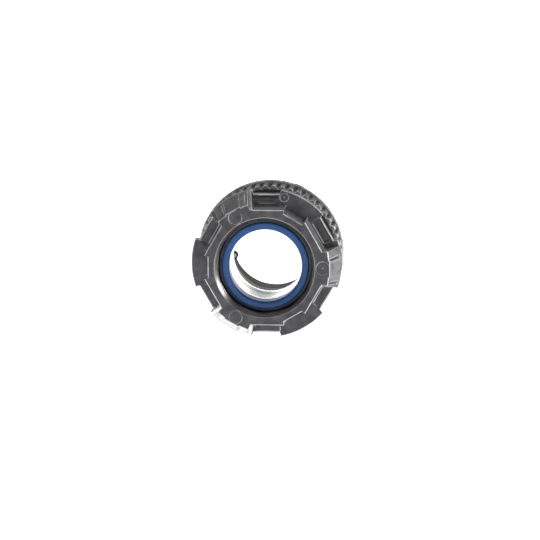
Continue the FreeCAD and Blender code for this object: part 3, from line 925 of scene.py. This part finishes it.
def body_zinc():
    """The casting with a bright turned throat."""
    zinc = CastZinc("body_cast_zinc", 1.0, turned_throat)
    throat = turned_throat(zinc)
    rings = zinc.noise(430, 3.0, (0.12, 1.0, 0.12))
    zinc.paint(throat, zinc.ramp(rings, [(0.38, grey(0.28)), (0.5, grey(0.97))]))
    zinc.paint(zinc.outer_walls(15.6), zinc.satin())
    zinc.polish(throat, 0.28)
    return zinc.finish(zinc.all_of(zinc.mark("edge_line"), zinc.outside(13.3)))


class PlatedSteel(Nodes):
    """Zinc-plated steel with fine lines around the bore."""

    def __init__(self, name):
        super().__init__(name)
        self.set("Metallic", 1.0)
        self.set("Specular Tint", (0.8, 0.8, 0.76, 1))
        lines = self.noise(700, 3.0, (0.05, 3.0, 0.05))
        spots = self.noise(900, 4.0)
        self.colour = self.ramp(spots, [(0.3, (0.17, 0.17, 0.157)), (0.7, (0.28, 0.28, 0.26))])
        self.feed("Roughness", self.between(spots, 0.3, 0.5))
        self.feed("Normal", self.bump(lines, 0.3, 0.04 * MM))


def gland_steel():
    """Plated steel, with painted shade on the tab and a painted glint in its middle."""
    steel = PlatedSteel("gland_plated_steel")
    painted_glint = steel.smooth(steel.distance_from(10.7, TAB_DIRECTION), 0.75 * MM, 0.45 * MM)
    # Painted shade darkens the tab, and a painted glint brightens a dot in its middle.
    tab = steel.ramp(painted_glint, [(0, grey(0.03)), (1, grey(0.95))])
    steel.feed("Base Color", steel.mix(steel.inside(GLAND_BORE_RADIUS - 0.25), steel.colour, tab))
    return steel.material


def washer_steel():
    steel = PlatedSteel("washer_plated_steel")
    steel.feed("Base Color", steel.colour)
    return steel.material


def blue_nylon():
    nylon = Nodes("blue_moulded_nylon")
    grain = nylon.noise(1800, 4.0)
    cloud = nylon.noise(220, 3.0)
    nylon.feed("Base Color", nylon.ramp(cloud, [(0.3, (0.010, 0.058, 0.190)), (0.7, (0.018, 0.082, 0.250))]))
    nylon.feed("Roughness", nylon.between(grain, 0.26, 0.38))
    nylon.set("Specular IOR Level", 0.28)
    nylon.feed("Normal", nylon.bump(grain, 0.25, 0.02 * MM))
    return nylon.material


def black_rubber(name, dark, light):
    rubber = Nodes(name)
    grain = rubber.noise(2200, 5.0)
    cloud = rubber.noise(300, 3.0)
    rubber.feed("Base Color", rubber.ramp(cloud, [(0.3, grey(dark)), (0.7, grey(light))]))
    rubber.feed("Roughness", rubber.between(grain, 0.55, 0.8))
    rubber.feed("Normal", rubber.bump(grain, 0.4, 0.04 * MM))
    return rubber.material


def glowing_table():
    """The plain white of a photographer's light table."""
    table = Nodes("white_light_table")
    table.set("Base Color", (*grey(0.85), 1))
    table.set("Roughness", 0.9)
    table.set("Specular IOR Level", 0.1)
    table.set("Emission Color", (*grey(1.0), 1))
    table.set("Emission Strength", 0.92)
    return table.material


# ---------------------------------------------------------------- stage, in metres

TABLE_FLAT = 1.5
TABLE_BEND = 0.28
TABLE_BEND_STEPS = 8
TABLE_COLUMNS = 96


def make_floor():
    """A wide pale dish: flat under the object, with a low rim that closes the view behind it."""
    low = min(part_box(node)[0].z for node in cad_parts)
    reaches = [0.0001, 0.4, TABLE_FLAT]
    rises = [0.0, 0.0, 0.0]
    for step in range(1, TABLE_BEND_STEPS + 1):
        turn = step / TABLE_BEND_STEPS * math.pi / 2
        reaches.append(TABLE_FLAT + TABLE_BEND * math.sin(turn))
        rises.append(TABLE_BEND - TABLE_BEND * math.cos(turn))
    angles = even_angles(TABLE_COLUMNS)
    across = np.outer(reaches, np.cos(angles))
    along = np.outer(reaches, np.sin(angles))
    up = np.outer(rises, np.ones(TABLE_COLUMNS)) + low
    faces = grid_faces(len(reaches), TABLE_COLUMNS, False, True)[:, ::-1].tolist()
    dish = new_object("pale_dish", np.stack([across, along, up], axis=-1), faces)
    dish.data.materials.append(glowing_table())


def make_softbox(name, place, width, height, power):
    """A soft lamp that is aimed at the object's middle."""
    data = bpy.data.lights.new(name, "AREA")
    data.shape = "RECTANGLE"
    data.size = width
    data.size_y = height
    data.energy = power
    lamp = bpy.data.objects.new(name, data)
    lamp.location = place
    lamp.rotation_euler = (-Vector(place)).to_track_quat("-Z", "Y").to_euler()
    bpy.context.scene.collection.objects.link(lamp)


def make_world():
    world = bpy.data.worlds.new("studio")
    world.use_nodes = True
    background = world.node_tree.nodes["Background"]
    background.inputs["Color"].default_value = (*grey(0.8), 1)
    background.inputs["Strength"].default_value = 0.4
    bpy.context.scene.world = world


# The camera stands this far from the locknut's face, turned this much from the bore.
CAMERA_DISTANCE = 0.524
CAMERA_AZIMUTH = math.radians(4.0)
CAMERA_ELEVATION = math.radians(9.2)
CAMERA_LENS = 133.3
AIM_RIGHT = 0.00147
AIM_DOWN = 0.00052


def make_camera():
    face_centre = Vector((0, LOCKNUT_FACE_Y, 0))
    level_away = Vector((math.sin(CAMERA_AZIMUTH), -math.cos(CAMERA_AZIMUTH), 0))
    away = level_away * math.cos(CAMERA_ELEVATION) + Vector((0, 0, math.sin(CAMERA_ELEVATION)))
    right = Vector((math.cos(CAMERA_AZIMUTH), math.sin(CAMERA_AZIMUTH), 0))
    up = right.cross(-away)
    aim = face_centre + right * AIM_RIGHT - up * AIM_DOWN
    data = bpy.data.cameras.new("camera")
    data.lens = CAMERA_LENS
    data.sensor_width = 36
    data.clip_start = 0.01
    camera = bpy.data.objects.new("camera", data)
    camera.location = face_centre + away * CAMERA_DISTANCE
    camera.rotation_euler = (aim - camera.location).to_track_quat("-Z", "Y").to_euler()
    bpy.context.scene.collection.objects.link(camera)
    bpy.context.scene.camera = camera


make_locknut()
make_compression_nut()
make_connector_body()
make_throat_insulator()
make_box_seal()
make_gland_ring()
make_slip_washer()
make_conduit_seal()
make_floor()
make_world()
make_softbox("overhead_softbox", place=(0, 0.35, 1.2), width=1.2, height=0.7, power=9)
make_softbox("right_softbox", place=(0.94, -0.13, 0.31), width=0.3, height=0.3, power=5)
make_camera()
bpy.context.scene.view_settings.view_transform = "Standard"

bpy.context.view_layer.update()
